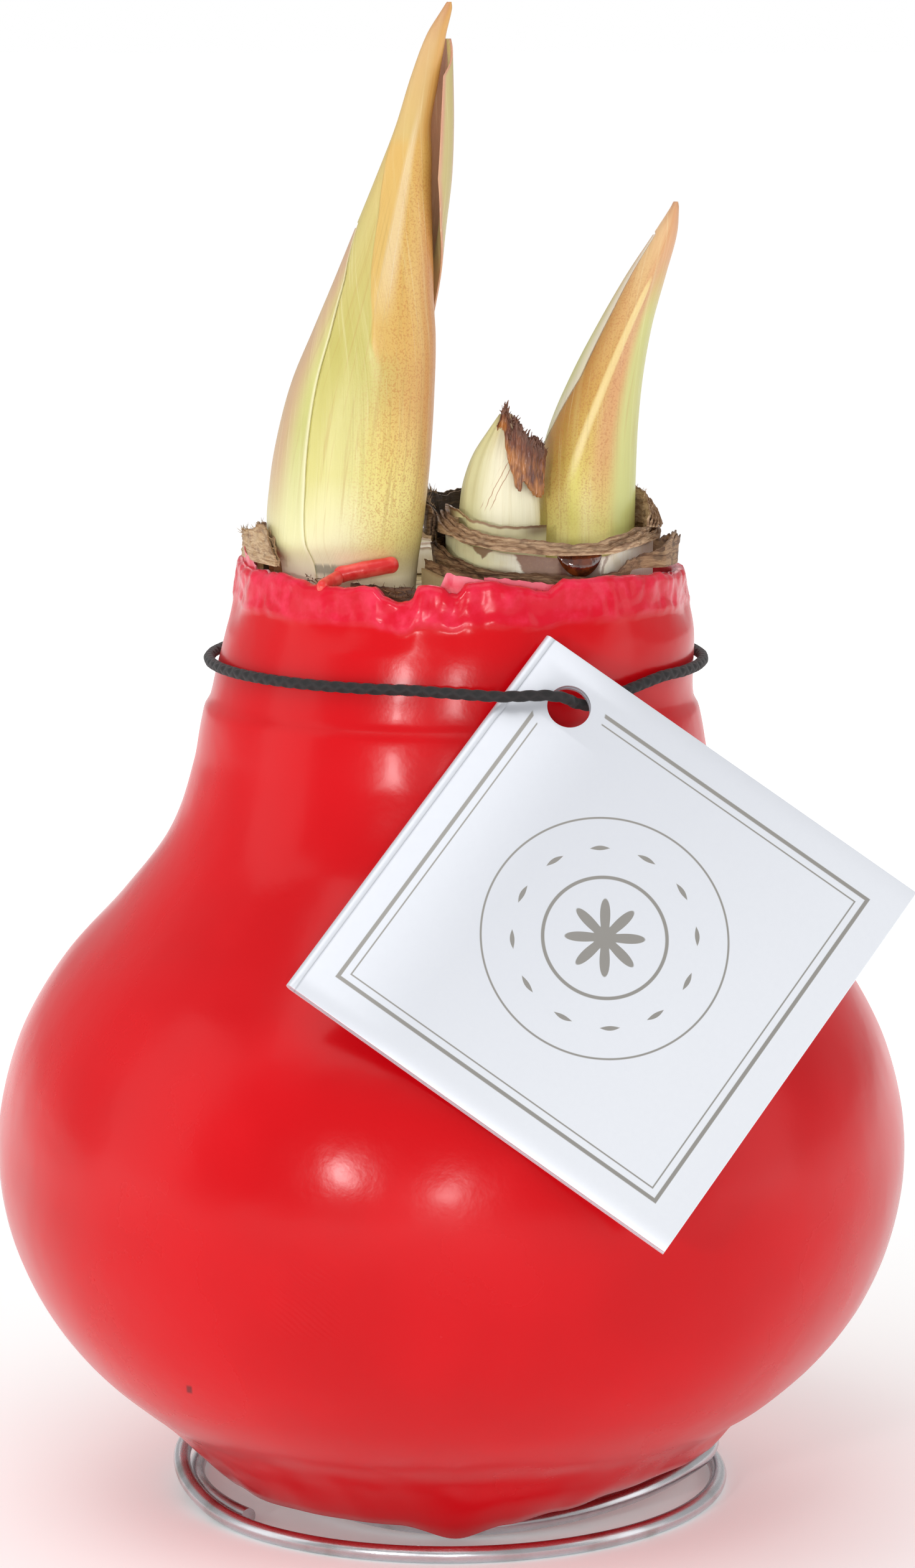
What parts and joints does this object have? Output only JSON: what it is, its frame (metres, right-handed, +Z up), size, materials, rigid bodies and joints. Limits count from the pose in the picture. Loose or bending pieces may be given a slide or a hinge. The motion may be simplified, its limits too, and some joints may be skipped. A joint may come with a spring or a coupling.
{
  "type": "amaryllis bulb",
  "caption": "Amaryllis bulb in a red wax coat, with two leaf shoots and cut neck scales, on a coiled wire stand, with a square folded card tag on an elastic loop.",
  "frame": {"origin": "middle of the footprint, at the floor", "axes": "+Z up, the way the shoots grow; -Y towards the side with the tag; +X to the right when seen from there"},
  "size_m": [0.096, 0.099, 0.1573],
  "materials": {
    "red_wax": "semi-gloss opaque wax",
    "pale_flesh": "moist satin plant flesh",
    "dry_paper_scale": "dry papery skin",
    "dark_dry_scale": "dark dry papery skin",
    "green_leaf": "satin yellow-green leaf",
    "golden_leaf": "satin golden leaf with a waxy shine",
    "bright_steel": "bright drawn wire",
    "black_elastic": "matt woven elastic",
    "silver_card": "pearly silver coated card"
  },
  "bodies": {
    "root": {"wax_coat": "red_wax", "wax_smear": "red_wax", "bulb": "pale_flesh", "fleshy_scale": "pale_flesh", "inner_scale": "pale_flesh", "cut_scale_back": "pale_flesh", "cut_scale_middle": "pale_flesh", "leaf_stub": "pale_flesh", "lower_papery_rim": "dry_paper_scale", "upper_papery_rim": "dry_paper_scale", "outer_dry_scale": "dry_paper_scale", "front_dry_scale": "dry_paper_scale", "brown_scale_left": "dry_paper_scale", "crinkled_scale_left": "dry_paper_scale", "dry_scale_right": "dry_paper_scale", "dry_curl": "dark_dry_scale", "stub_dry_skin": "dark_dry_scale", "tall_shoot_main_leaf": "golden_leaf", "tall_shoot_left_leaf": "green_leaf", "tall_shoot_back_leaf": "green_leaf", "short_shoot_main_leaf": "golden_leaf", "short_shoot_back_leaf": "green_leaf", "wire_stand": "bright_steel", "elastic_loop": "black_elastic", "tag": "silver_card"}
  },
  "joints": []
}
